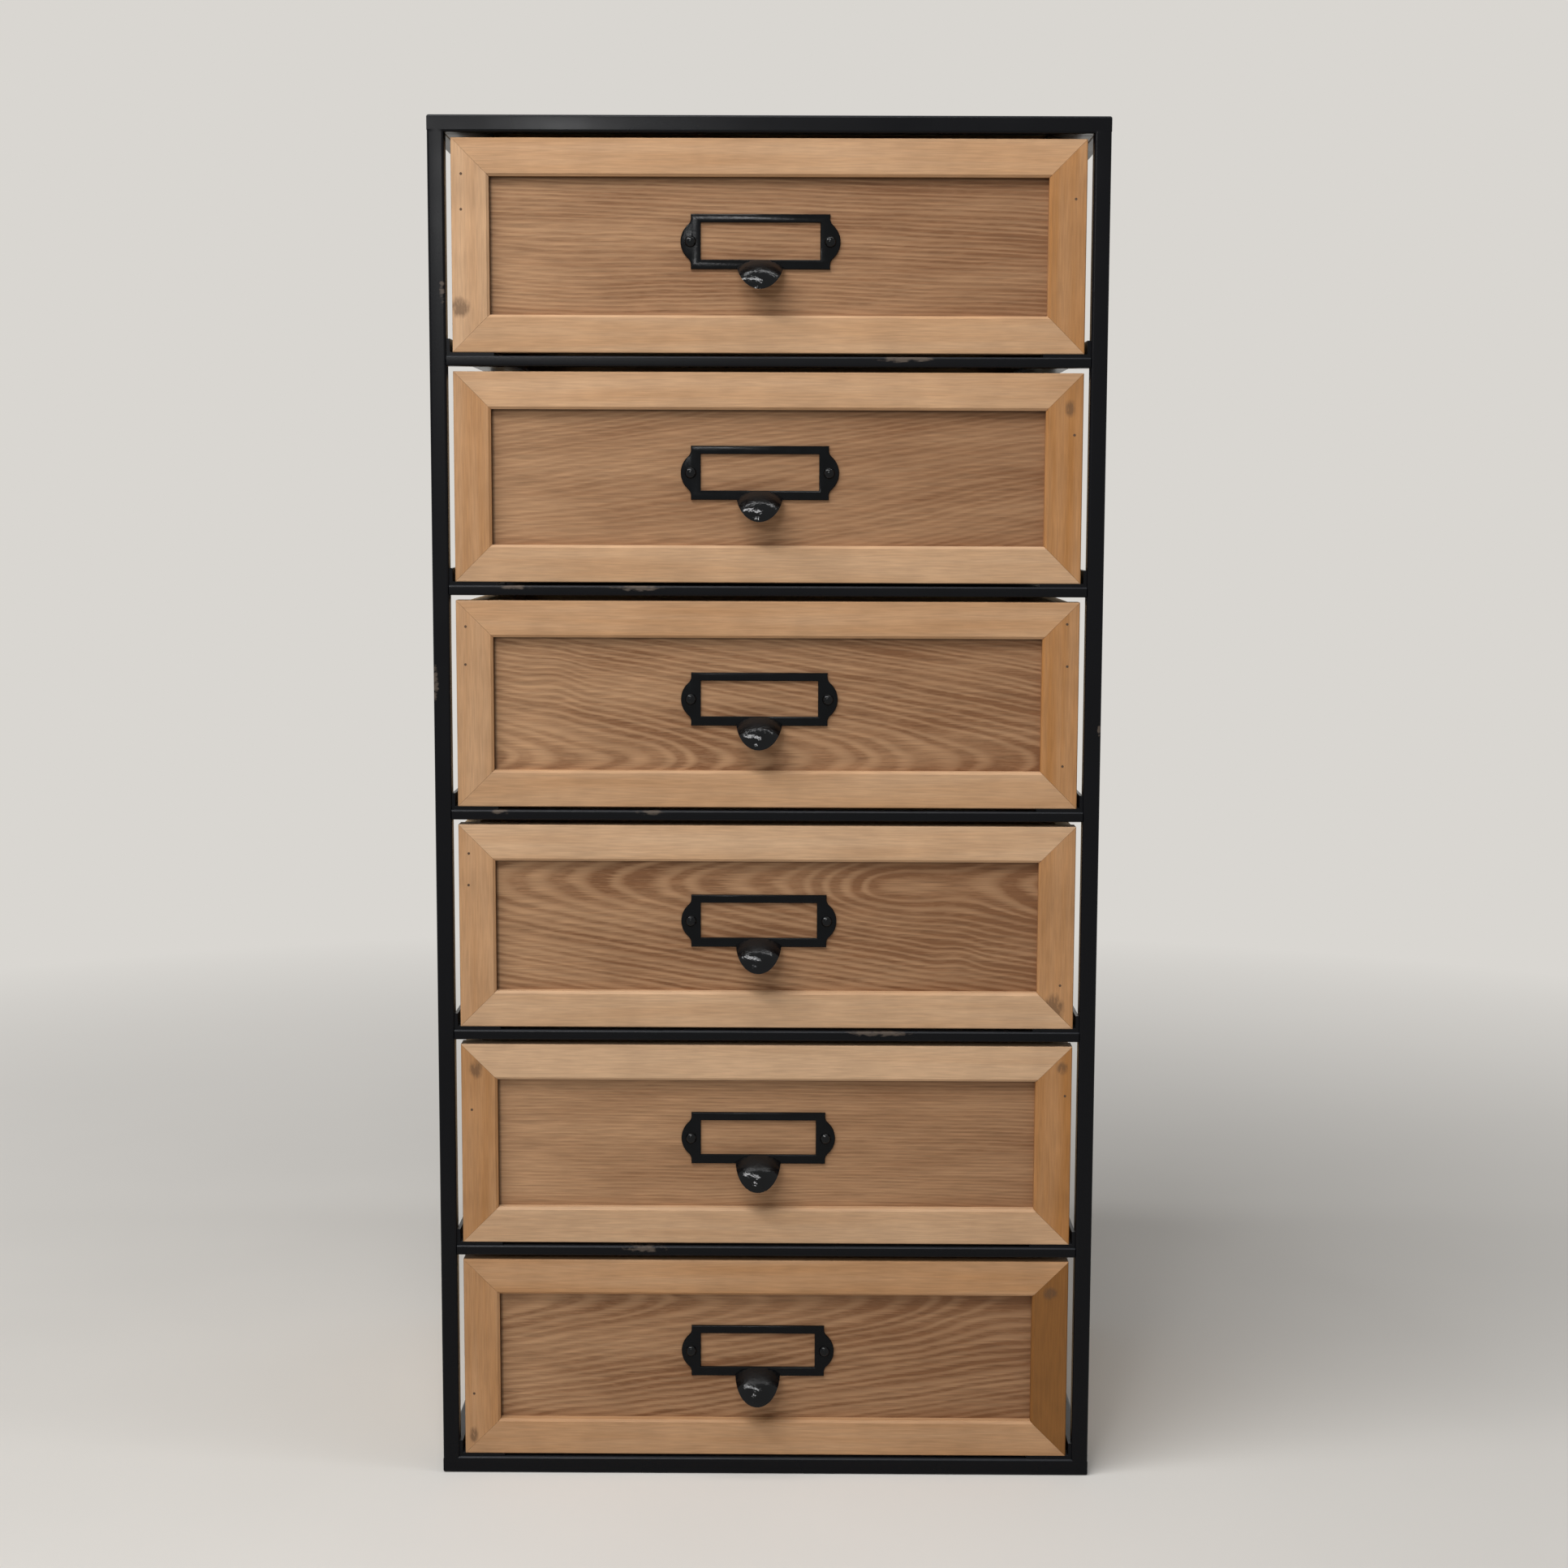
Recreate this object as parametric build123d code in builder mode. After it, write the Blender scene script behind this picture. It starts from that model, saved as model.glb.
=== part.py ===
from build123d import *
from math import atan2, cos, degrees, pi, radians, sin
import os

os.makedirs("parts", exist_ok=True)

# Open steel-tube cabinet with a column of equal wooden drawers, in millimetres.
# +Z is up, the drawers open towards -Y, and the origin is under the middle of the whole.

# Steel frame
cabinet_width = 400.0
cabinet_depth = 300.0
drawer_count = 6
bay_height = 129.0
tube = 10.0
tube_wall = 1.2
tube_corner = 1.5
cross_height = 6.0
rear_cross_height = 10.0
cross_depth = 10.0
cross_corner = 1.2

# Runners of steel angle, closed at the rear by a stop
runner_shelf = 28.0
runner_leg = 10.0
runner_thickness = 2.0
runner_inset = 1.5

# Board let into the top, on tabs welded into the corners
tab_size = 26.0
tab_thickness = 2.0
board_gap = 0.5

# Drawer front: a mitred moulding round a recessed panel
drawer_side_gap = 1.7
drawer_top_gap = 3.0
front_setback = 1.0
moulding_width = 22.0
moulding_thickness = 12.0
moulding_chamfer = 1.5
moulding_arris = 0.8
mitre_gap = 0.1
panel_thickness = 6.0
panel_lap = 6.0
panel_gap = 0.5

# Drawer box, whose top passes under the rear bars
side_thickness = 10.0
box_top_gap = 1.0
back_thickness = 10.0
bottom_thickness = 4.0
bottom_rise = 8.0
groove_depth = 5.0
groove_gap = 0.2

# Pull: a label holder with a hooded finger lip under its window
pull_offset = -4.9
pull_rise = 3.0
window_width = 70.5
window_height = 21.5
top_bar = 4.9
bottom_bar = 5.6
side_bar = 5.8
plate_thickness = 2.0
ear_radius = 13.0
ear_reach = 6.1
ear_blend = 5.0
card_lap = 2.6
card_depth = 0.8
lip_width = 28.5
lip_drop = 18.5
lip_reach = 21.0
lip_thickness = 1.5
lip_sides = 24
lip_bands = 5

# Dome-headed screws through the ears
screw_spacing = 82.4
screw_radius = 1.5
screw_gap = 0.15
screw_bite = 4.0
head_radius = 3.4
head_height = 2.4
head_bands = 3
screw_sides = 10

# Domes are drawn in flat facets over this much of a quarter turn, short of their very top
dome_share = 0.93

# Cuts run on past the faces that they leave through
overrun = 1.0

# Heights and widths of the frame
bay_pitch = bay_height + cross_height
cabinet_height = 2 * tube + drawer_count * bay_height + (drawer_count - 1) * cross_height
opening_width = cabinet_width - 2 * tube
opening_depth = cabinet_depth - 2 * tube
post_height = cabinet_height - 2 * tube
board_thickness = tube - tab_thickness

# Places along the depth: the lips stand proud of the frame, and the origin is midway over both
panel_recess = moulding_thickness - panel_thickness
lip_proud = lip_reach - panel_recess - front_setback
front_y = (lip_proud - cabinet_depth) / 2
rear_y = front_y + cabinet_depth
middle_y = front_y + cabinet_depth / 2
runner_rear_y = rear_y - runner_inset
runner_length = cabinet_depth - 2 * runner_inset
face_y = front_y + front_setback
panel_y = face_y + panel_recess
box_front_y = face_y + moulding_thickness
box_rear_y = runner_rear_y - runner_thickness

# Drawer sizes that follow from the bay and the clearances
front_width = opening_width - 2 * (runner_thickness + drawer_side_gap)
front_height = bay_height - runner_thickness - drawer_top_gap
box_length = box_rear_y - box_front_y
side_height = bay_pitch - rear_cross_height - runner_thickness - box_top_gap
inside_width = front_width - 2 * side_thickness
bottom_inset = back_thickness - groove_depth + groove_gap
panel_frame = moulding_width - panel_lap
plate_width = window_width + 2 * side_bar
plate_height = window_height + top_bar + bottom_bar
window_rise = (bottom_bar - top_bar) / 2

bay_floors = [tube + level * bay_pitch for level in range(drawer_count)]


def save(piece, name):
    """Label a finished piece and write it under its own name."""
    piece.part.label = name
    export_step(piece.part, f"parts/{name}.step")


def tube_section():
    """Square tube with rounded outer corners, drawn in the current sketch."""
    RectangleRounded(tube, tube, tube_corner)
    Rectangle(tube - 2 * tube_wall, tube - 2 * tube_wall, mode=Mode.SUBTRACT)


def dome(radius, height, sides, bands):
    """Dome of flat facets on the floor, whose profile is a quarter ellipse, in tapered bands."""
    with BuildPart() as facets:
        for band in range(bands):
            low, high = [radians(90 * dome_share * step / bands) for step in (band, band + 1)]
            rise = height * (sin(high) - sin(low))
            inset = radius * (cos(low) - cos(high)) * cos(pi / sides)
            with BuildSketch(Plane.XY.offset(height * sin(low))):
                RegularPolygon(radius * cos(low), sides)
            extrude(amount=rise, taper=degrees(atan2(inset, rise)))
    return facets.part


def mitre_planes(edge_y, inward):
    """Vertical planes at 45 degrees through the two corners of a tube ring on one of its edges."""
    return [
        Plane(origin=(end * cabinet_width / 2, edge_y, 0), z_dir=(end, inward, 0)) for end in (-1, 1)
    ]


# The front and the rear edge of the frame, each with its direction inwards
rows = (("front", front_y, 1), ("rear", rear_y, -1))

# Posts stand between the bottom and the top ring
for row, edge_y, inward in rows:
    for side, end in (("left", -1), ("right", 1)):
        with BuildPart() as post:
            with BuildSketch(Plane.XY.offset(tube)):
                with Locations((end * (cabinet_width - tube) / 2, edge_y + inward * tube / 2)):
                    tube_section()
            extrude(amount=post_height)
        save(post, f"{row}_post_{side}")

# Two rings of mitred tube, one at the floor and one at the top
for ring, rail_z in (("bottom", tube / 2), ("top", cabinet_height - tube / 2)):
    for row, edge_y, inward in rows:
        with BuildPart() as rail:
            with BuildSketch(Plane.YZ):
                with Locations((edge_y + inward * tube / 2, rail_z)):
                    tube_section()
            extrude(amount=cabinet_width / 2, both=True)
            for mitre in mitre_planes(edge_y, inward):
                split(bisect_by=mitre, keep=Keep.BOTTOM)
        save(rail, f"{ring}_{row}_rail")
    with BuildPart() as side_rails:
        with BuildSketch(Plane.XZ.offset(-middle_y)):
            with Locations((0, rail_z)):
                with GridLocations(cabinet_width - tube, 0, 2, 1):
                    tube_section()
        extrude(amount=cabinet_depth / 2, both=True)
        for row, edge_y, inward in rows:
            for mitre in mitre_planes(edge_y, inward):
                with BuildSketch(Plane.XY):
                    with Locations((mitre.origin.X, mitre.origin.Y)):
                        Rectangle(2 * tube, 2 * tube)
                    split(bisect_by=mitre, keep=Keep.BOTTOM)
                extrude(amount=cabinet_height, mode=Mode.SUBTRACT)
    save(side_rails, f"{ring}_side_rails")

# Bars between the bays, flush with the front or the rear of the posts and with the floors of the bays
for (row, edge_y, inward), bar_height in zip(rows, (cross_height, rear_cross_height)):
    bar_y = edge_y + inward * cross_depth / 2
    with BuildPart() as cross_rails:
        with BuildSketch(Plane.YZ):
            with Locations(*[(bar_y, floor - bar_height / 2) for floor in bay_floors[1:]]):
                RectangleRounded(cross_depth, bar_height, cross_corner)
        extrude(amount=opening_width / 2, both=True)
    save(cross_rails, f"{row}_cross_rails")

# Angle runners lie on the bars against the posts and carry the drawer sides
for side, end, outer in (("left", -1, Align.MIN), ("right", 1, Align.MAX)):
    runner_places = [(end * opening_width / 2, floor) for floor in bay_floors]
    with BuildPart() as runners:
        with BuildSketch(Plane.XZ.offset(-runner_rear_y)):
            with Locations(*runner_places):
                Rectangle(runner_shelf, runner_thickness, align=(outer, Align.MIN))
                Rectangle(runner_thickness, runner_leg, align=(outer, Align.MIN))
        extrude(amount=runner_length)
        with BuildSketch(Plane.XZ.offset(-runner_rear_y)):
            with Locations(*runner_places):
                Rectangle(runner_leg, runner_leg, align=(outer, Align.MIN))
        extrude(amount=runner_thickness)
    save(runners, f"drawer_runners_{side}")

# The top board lies flush in the top ring
with BuildPart() as top_support_tabs:
    with BuildSketch(Plane.XY.offset(cabinet_height - tube)):
        with Locations((0, middle_y)):
            with GridLocations(opening_width - tab_size, opening_depth - tab_size, 2, 2):
                Rectangle(tab_size, tab_size)
    extrude(amount=tab_thickness)
save(top_support_tabs, "top_support_tabs")

with BuildPart() as top_board:
    with BuildSketch(Plane.XY.offset(cabinet_height - board_thickness)):
        with Locations((0, middle_y)):
            Rectangle(opening_width - 2 * board_gap, opening_depth - 2 * board_gap)
    extrude(amount=board_thickness)
save(top_board, "top_board")

# Domed forms of the pulls, the same on every drawer
lip_outside = dome(lip_reach, lip_drop, lip_sides, lip_bands)
lip_inside = dome(lip_reach - lip_thickness, lip_drop - lip_thickness, lip_sides, lip_bands)
screw_head = dome(head_radius, head_height, screw_sides, head_bands)

# Drawers, numbered from the top
for number, bay_floor in enumerate(reversed(bay_floors), start=1):
    drawer = f"drawer_{number}"
    floor_z = bay_floor + runner_thickness
    middle_z = floor_z + front_height / 2
    front_plane = Plane(origin=(0, face_y, middle_z), x_dir=(1, 0, 0), z_dir=(0, -1, 0))
    panel_plane = front_plane.offset(-panel_recess)
    box_plane = front_plane.offset(-moulding_thickness)
    rear_plane = Plane(origin=(0, box_rear_y, floor_z), x_dir=(1, 0, 0), z_dir=(0, -1, 0))
    pull_plane = Plane(
        origin=(pull_offset, panel_y, middle_z + pull_rise), x_dir=(1, 0, 0), z_dir=(0, -1, 0)
    )

    # Moulding with a rebate at the back for the panel, cut at the mitres into four lengths
    with BuildPart() as front_frame:
        with BuildSketch(front_plane):
            Rectangle(front_width, front_height)
            Rectangle(
                front_width - 2 * moulding_width, front_height - 2 * moulding_width, mode=Mode.SUBTRACT
            )
        extrude(amount=-moulding_thickness)
        front_face = front_frame.faces().sort_by(Axis.Y)[0]
        chamfer(front_face.inner_wires()[0].edges(), length=moulding_chamfer)
        front_face = front_frame.faces().sort_by(Axis.Y)[0]
        fillet(front_face.outer_wire().edges(), radius=moulding_arris)
        with BuildSketch(panel_plane):
            Rectangle(front_width - 2 * panel_frame, front_height - 2 * panel_frame)
        extrude(amount=-panel_thickness, mode=Mode.SUBTRACT)
        with BuildSketch(front_plane):
            for end in (-1, 1):
                for level in (-1, 1):
                    corner_x = end * (front_width - moulding_width) / 2
                    corner_z = level * (front_height - moulding_width) / 2
                    with Locations(Location((corner_x, corner_z, 0), (0, 0, end * level * 45))):
                        Rectangle(2 * moulding_width, mitre_gap)
        extrude(amount=-moulding_thickness, mode=Mode.SUBTRACT)
    save(front_frame, f"{drawer}_front_frame")

    with BuildPart() as front_panel:
        with BuildSketch(panel_plane):
            Rectangle(
                front_width - 2 * panel_frame - 2 * panel_gap,
                front_height - 2 * panel_frame - 2 * panel_gap,
            )
        extrude(amount=-panel_thickness)
        with BuildSketch(pull_plane):
            with GridLocations(screw_spacing, 0, 2, 1):
                RegularPolygon(screw_radius + screw_gap, screw_sides)
        extrude(amount=-(screw_bite + screw_gap), mode=Mode.SUBTRACT)
    save(front_panel, f"{drawer}_front_panel")

    # Grooved sides butt against the back of the stiles
    with BuildPart() as sides:
        with BuildSketch(rear_plane):
            for end, outer in ((-1, Align.MIN), (1, Align.MAX)):
                with Locations((end * front_width / 2, 0)):
                    Rectangle(side_thickness, side_height, align=(outer, Align.MIN))
                with Locations((end * (inside_width / 2 + groove_depth), bottom_rise)):
                    Rectangle(
                        groove_depth + overrun,
                        bottom_thickness + groove_gap,
                        align=(outer, Align.MIN),
                        mode=Mode.SUBTRACT,
                    )
        extrude(amount=box_length)
    save(sides, f"{drawer}_sides")

    with BuildPart() as bottom:
        with BuildSketch(rear_plane.offset(bottom_inset)):
            with Locations((0, bottom_rise)):
                Rectangle(
                    inside_width + 2 * (groove_depth - groove_gap),
                    bottom_thickness,
                    align=(Align.CENTER, Align.MIN),
                )
        extrude(amount=box_length - bottom_inset)
    save(bottom, f"{drawer}_bottom")

    # The back stands between the sides, as high as they are, and takes the bottom in its groove
    with BuildPart() as back:
        with BuildSketch(rear_plane):
            Rectangle(inside_width, side_height, align=(Align.CENTER, Align.MIN))
        extrude(amount=back_thickness)
        with BuildSketch(rear_plane.offset(back_thickness)):
            with Locations((0, bottom_rise)):
                Rectangle(inside_width, bottom_thickness + groove_gap, align=(Align.CENTER, Align.MIN))
        extrude(amount=-groove_depth, mode=Mode.SUBTRACT)
    save(back, f"{drawer}_back")

    # Finger lip: the front half of a domed shell, trimmed from the front to a rounded tongue
    lip_top = window_rise - window_height / 2
    lip_floor = pull_plane.from_local_coords((0, lip_top - lip_drop, 0))
    tongue = []
    for corner in range(lip_sides // 2 + 1):
        angle = radians(360 * corner / lip_sides)
        tongue.append((lip_width / 2 * cos(angle), lip_top - lip_drop * sin(angle)))
    with BuildPart() as lip:
        with Locations(lip_floor):
            add(lip_outside)
            add(lip_inside, mode=Mode.SUBTRACT)
        with BuildSketch(pull_plane):
            Polygon(*tongue, align=None)
        extrude(amount=lip_reach + overrun, mode=Mode.INTERSECT)

    # Plate with rounded ears, a card window and a shallow pocket for the card behind it
    with BuildPart() as pull:
        with BuildSketch(pull_plane) as plate:
            Rectangle(plate_width, plate_height)
            with GridLocations(plate_width + 2 * (ear_reach - ear_radius), 0, 2, 1):
                Circle(ear_radius)
            ear_roots = [root for root in plate.vertices() if abs(root.Y) < plate_height / 2 - overrun]
            fillet(ear_roots, radius=ear_blend)
            with Locations((0, window_rise)):
                Rectangle(window_width, window_height, mode=Mode.SUBTRACT)
            with GridLocations(screw_spacing, 0, 2, 1):
                RegularPolygon(screw_radius + screw_gap, screw_sides, mode=Mode.SUBTRACT)
        extrude(amount=plate_thickness)
        with BuildSketch(pull_plane):
            with Locations((0, window_rise)):
                Rectangle(window_width + 2 * card_lap, window_height + 2 * card_lap)
        extrude(amount=card_depth, mode=Mode.SUBTRACT)
        add(lip.part)
    save(pull, f"{drawer}_pull")

    seat_plane = pull_plane.offset(plate_thickness)
    with BuildPart() as pull_screws:
        with BuildSketch(seat_plane):
            with GridLocations(screw_spacing, 0, 2, 1):
                RegularPolygon(screw_radius, screw_sides)
        extrude(amount=-(plate_thickness + screw_bite))
        with Locations(seat_plane):
            with GridLocations(screw_spacing, 0, 2, 1):
                add(screw_head)
    save(pull_screws, f"{drawer}_pull_screws")
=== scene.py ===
import math
from typing import NamedTuple

import bmesh
import bpy
from bpy.props import FloatProperty, FloatVectorProperty, PointerProperty
from mathutils import Matrix, Vector


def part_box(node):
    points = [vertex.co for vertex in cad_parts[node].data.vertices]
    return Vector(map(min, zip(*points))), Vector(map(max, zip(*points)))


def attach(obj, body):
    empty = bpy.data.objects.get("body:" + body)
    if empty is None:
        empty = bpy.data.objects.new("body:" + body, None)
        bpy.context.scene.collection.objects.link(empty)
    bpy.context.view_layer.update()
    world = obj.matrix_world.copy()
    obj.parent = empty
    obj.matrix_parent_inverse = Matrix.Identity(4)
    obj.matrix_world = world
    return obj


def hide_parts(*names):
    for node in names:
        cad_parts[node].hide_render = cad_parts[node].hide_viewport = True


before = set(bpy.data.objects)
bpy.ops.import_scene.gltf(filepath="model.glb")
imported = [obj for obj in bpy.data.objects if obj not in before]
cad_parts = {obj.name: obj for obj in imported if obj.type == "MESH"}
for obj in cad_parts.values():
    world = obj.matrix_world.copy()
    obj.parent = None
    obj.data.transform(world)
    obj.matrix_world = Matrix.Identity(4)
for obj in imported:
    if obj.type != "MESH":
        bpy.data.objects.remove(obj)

bl_info = {
    "name": "Drawer cabinet",
    "version": (1, 0, 0),
    "blender": (4, 5, 0),
    "location": "3D View > Sidebar > Cabinet",
    "description": "Finished forms and materials of a steel-framed cabinet with six wooden drawers",
    "category": "Object",
}

MM = 0.001
DRAWERS = range(1, 1 + sum(name.endswith("_pull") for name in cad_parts))
DRAWER_PREFIXES = tuple(f"drawer_{number}_" for number in DRAWERS)
STEEL_NODES = [
    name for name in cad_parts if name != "top_board" and not name.startswith(DRAWER_PREFIXES)
]

# Merging and shading of the copied frame meshes
MERGE = 0.001 * MM
FLAT = math.radians(1)
SHARP = math.radians(35)

# Steps of the label holder's curves and of the other round forms
EAR_STEPS = 20
BLEND_STEPS = 6
PLATE_BEVEL_STEPS = 3
LIP_STEPS = 28
HEAD_SEGMENTS = 24
HEAD_RINGS = 16
NAIL_SEGMENTS = 14
WELD_STEPS = 4
BOARD_BEVEL_STEPS = 2
FLOOR_SEGMENTS = 96

# Reach within which the lip's points at its tip are one
LIP_MERGE = 0.01 * MM
# Depth of the filler in a nail hole, half of it proud of the stile
NAIL_DEPTH = 0.1 * MM

# Sockets of the colour mixing node, and the vector sums whose result is a number
MIX_FACTOR, MIX_A, MIX_B, MIX_RESULT = 0, 6, 7, 2
NUMBER_RESULTS = ("LENGTH", "DOT_PRODUCT")
# Range that most values of a noise fall in
NOISE_SPREAD = (0.3, 0.7)
# Depth of the relief of grain and paint, and of the ripples in enamel
FINE_RELIEF = 0.1 * MM
RIPPLE_RELIEF = 0.4 * MM

# Camera: the photograph's side and focal length in pixels, its place and its turn
PHOTO_SIDE = 1932
PHOTO_FOCAL = 3000
SENSOR = 36.0
CAMERA_PLACE = Vector((0.0167, -1.597, 0.5988))
CAMERA_PITCH = math.radians(6.562)
CAMERA_YAW = math.radians(-0.259)
CAMERA_ROLL = math.radians(0.208)

# Stage: the floor's radius and its drop under the frame in metres, where it fades out in millimetres
FLOOR_RADIUS = 4.0
FLOOR_DROP = 0.1 * MM
FLOOR_FADE = (500, 1800)
# The world's light on dull surfaces
AMBIENT = (0.2, 0.2, 0.2)


class Lamp(NamedTuple):
    """Soft light: its place, its width and height in metres and its power in watts."""

    name: str
    place: tuple
    size: tuple
    power: float


LAMPS = (
    Lamp("key", (-0.7, -1.25, 2.05), (2.2, 0.26), 37.0),
    Lamp("overhead", (0.0, -0.4, 2.5), (3.0, 0.15), 14.0),
    Lamp("window", (-0.38, -2.0, 1.08), (0.26, 0.17), 4.0),
)
# Middle of the front, which the lamps are aimed at
LAMP_AIM = Vector((0, -0.143, 0.412))


class Figure(NamedTuple):
    """Ring figure of a panel, in millimetres from its middle.

    Each line joins points of equal ring number. The number rises across and along the panel, folds about
    a height and swells in places. Shade darkens the whole panel.
    """

    across: float = 0.0
    along: float = 0.0
    fold: float = 0.0
    fold_height: float = 0.0
    fold_softness: float = 8.0
    sway: float = 0.5
    contrast: float = 1.0
    shade: float = 0.0
    swells: tuple = ()


class Swell(NamedTuple):
    """Local rise of the ring number: its middle, its half width and half height, and its rings."""

    x: float
    z: float
    half_width: float
    half_height: float
    rings: float


FIGURES = {
    1: Figure(
        across=0.34,
        along=0.012,
        sway=0.5,
        contrast=0.7,
        shade=0.13,
        swells=(Swell(-128, -26, 110, 44, 2.0),),
    ),
    2: Figure(
        across=0.3,
        along=-0.05,
        sway=0.5,
        contrast=0.45,
        shade=0.15,
        swells=(Swell(20, -40, 260, 60, 3.0),),
    ),
    3: Figure(
        along=0.045,
        fold=0.28,
        fold_height=-33,
        fold_softness=22,
        sway=0.4,
        contrast=0.9,
        swells=(Swell(-127, 14, 22, 36, -0.7), Swell(-80, -34, 56, 20, -0.9)),
    ),
    4: Figure(
        along=0.04,
        fold=-0.26,
        fold_height=26,
        fold_softness=20,
        sway=0.35,
        shade=0.09,
        swells=(Swell(70, 22, 60, 34, 2.2), Swell(118, -18, 18, 24, -0.6)),
    ),
    5: Figure(
        across=0.42,
        along=0.004,
        sway=0.4,
        contrast=0.45,
        swells=(Swell(60, -44, 120, 30, -2.4),),
    ),
    6: Figure(
        along=-0.036,
        fold=-0.23,
        fold_height=36,
        fold_softness=14,
        sway=0.5,
        contrast=0.85,
        shade=0.11,
        swells=(Swell(133, 26, 60, 40, -0.9),),
    ),
}

# Tone of the top, right, bottom and left member of each moulding: pale at 0, amber at 1, browner above.
# The deeper tones of the right members are partly the wood's own colour and partly painted shade for
# light falling off to the right
TONES = {
    1: (0.36, 0.77, 0.26, 0.2),
    2: (0.3, 0.77, 0.2, 0.57),
    3: (0.4, 0.75, 0.3, 0.4),
    4: (0.08, 0.65, 0.12, 0.45),
    5: (0.0, 0.85, 0.15, 0.72),
    6: (0.48, 1.65, 0.45, 0.58),
}

# Filled nail holes in the stiles of each drawer, in millimetres from the middle of its front
NAILS = {
    1: ((-180.3, 41.1), (-180.5, 20.7), (179.8, 27.6)),
    2: ((181.2, 25.8),),
    3: ((-180.5, 46.3), (-180.8, 23.6), (178.8, 49.0), (179.2, 23.8), (177.3, -36.3)),
    4: ((-180.1, 44.4), (-180.4, 25.1), (178.1, -35.1)),
    5: ((182.2, 31.4), (-180.0, 21.2)),
    6: ((-180.5, -23.6),),
}


class Spot(NamedTuple):
    """Place of a mark on the front in millimetres, with its half width and half height."""

    x: float
    z: float
    half_width: float
    half_height: float


KNOTS = (
    Spot(-181.7, 713.1, 9, 9),
    Spot(178.6, 655.4, 5, 8),
    Spot(-177.2, 255.5, 6, 9),
    Spot(180.4, 257.6, 5, 6),
    Spot(175.3, 116.2, 7, 6),
    Spot(174.5, 295.0, 10, 13),
    Spot(-181.0, 24.0, 4, 8),
)
WORN_SPOTS = (
    Spot(81, 684, 40, 5),
    Spot(-150, 549, 24, 4),
    Spot(-78, 549, 34, 5),
    Spot(-70, 414, 20, 4),
    Spot(-160, 414, 14, 4),
    Spot(69, 279, 44, 5),
    Spot(-75, 144, 30, 6),
    Spot(-199, 492, 5, 26),
    Spot(-192, 722, 4, 18),
    Spot(199, 465, 3, 10),
)
# Marks reach through any depth of the front
THROUGH = 1000.0

# How far the panel runs under the moulding, and the width of the painted shade along its upper and left
# edge, in millimetres, and how much colour that painted shade leaves
PANEL_LAP = 5.5
PAINTED_SHADE_WIDTH = 1.8
PAINTED_SHADE_LEVEL = 0.3
# Painted shade: rise in depth of colour from the left of a panel to its right, for light falling off to
# the right, and how far from its middle that goes
PAINTED_FALLOFF = (-0.02, 0.3)
PAINTED_FALLOFF_REACH = 150
# Rings that a sway of 1 shifts the figure by
SWAY_RINGS = 4
# Fibres of pine in the width of one streak
FIBRES = 9
# Tone of the moulding's inner faces at the top and left, darkened as painted shade, and how squarely
# such a face looks inwards
SHADED_INNER_TONE = 2.0
UPRIGHT = 0.9


def linear(hex_colour):
    """Linear colour of an sRGB one written in hex."""
    shares = [int(hex_colour[start:start + 2], 16) / 255 for start in (1, 3, 5)]
    return tuple(s / 12.92 if s <= 0.04045 else ((s + 0.055) / 1.055) ** 2.4 for s in shares)


def length(name, description, default):
    """Length property with its default in metres."""
    return FloatProperty(name=name, description=description, default=default, unit="LENGTH", precision=4)


def colour(name, description, default):
    """Colour property with its default in hex."""
    return FloatVectorProperty(
        name=name, description=description, default=linear(default), subtype="COLOR", min=0, max=1
    )


class CabinetSizes(bpy.types.PropertyGroup):
    """Sizes of the forms that finish the frame."""

    tube_corner: length("Tube corner", "Rounding of the steel tube's edges", 1.5 * MM)
    window_width: length("Window width", "Width of the card window", 70.5 * MM)
    window_height: length("Window height", "Height of the card window", 21.5 * MM)
    top_bar: length("Top bar", "Height of the bar over the window", 4.9 * MM)
    bottom_bar: length("Bottom bar", "Height of the bar under the window", 5.6 * MM)
    side_bar: length("Side bar", "Width of the bars beside the window", 5.8 * MM)
    ear_radius: length("Ear radius", "Radius of the rounded ears", 13.0 * MM)
    ear_reach: length("Ear reach", "How far the ears stand out sideways", 6.1 * MM)
    ear_blend: length("Ear blend", "Radius of the hollows beside the ears", 5.0 * MM)
    plate_thickness: length("Plate thickness", "Thickness of the label holder", 2.0 * MM)
    plate_bevel: length("Plate bevel", "Rounding of the label holder's edges", 0.9 * MM)
    lip_width: length("Lip width", "Width of the finger lip at its root", 28.5 * MM)
    lip_drop: length("Lip drop", "Height of the finger lip", 18.5 * MM)
    lip_reach: length("Lip reach", "How far the lip stands out from the panel", 21.0 * MM)
    lip_thickness: length("Lip thickness", "Wall of the finger lip", 1.5 * MM)
    screw_spacing: length("Screw spacing", "Distance between the screws of a pull", 82.4 * MM)
    head_radius: length("Head radius", "Radius of the screw heads", 3.4 * MM)
    head_height: length("Head height", "Height of the screw heads", 2.38 * MM)
    nail_radius: length("Nail radius", "Radius of the filled nail holes", 0.8 * MM)
    board_bevel: length("Board bevel", "Rounding of the edges of the drawer boxes", 0.6 * MM)


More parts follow.
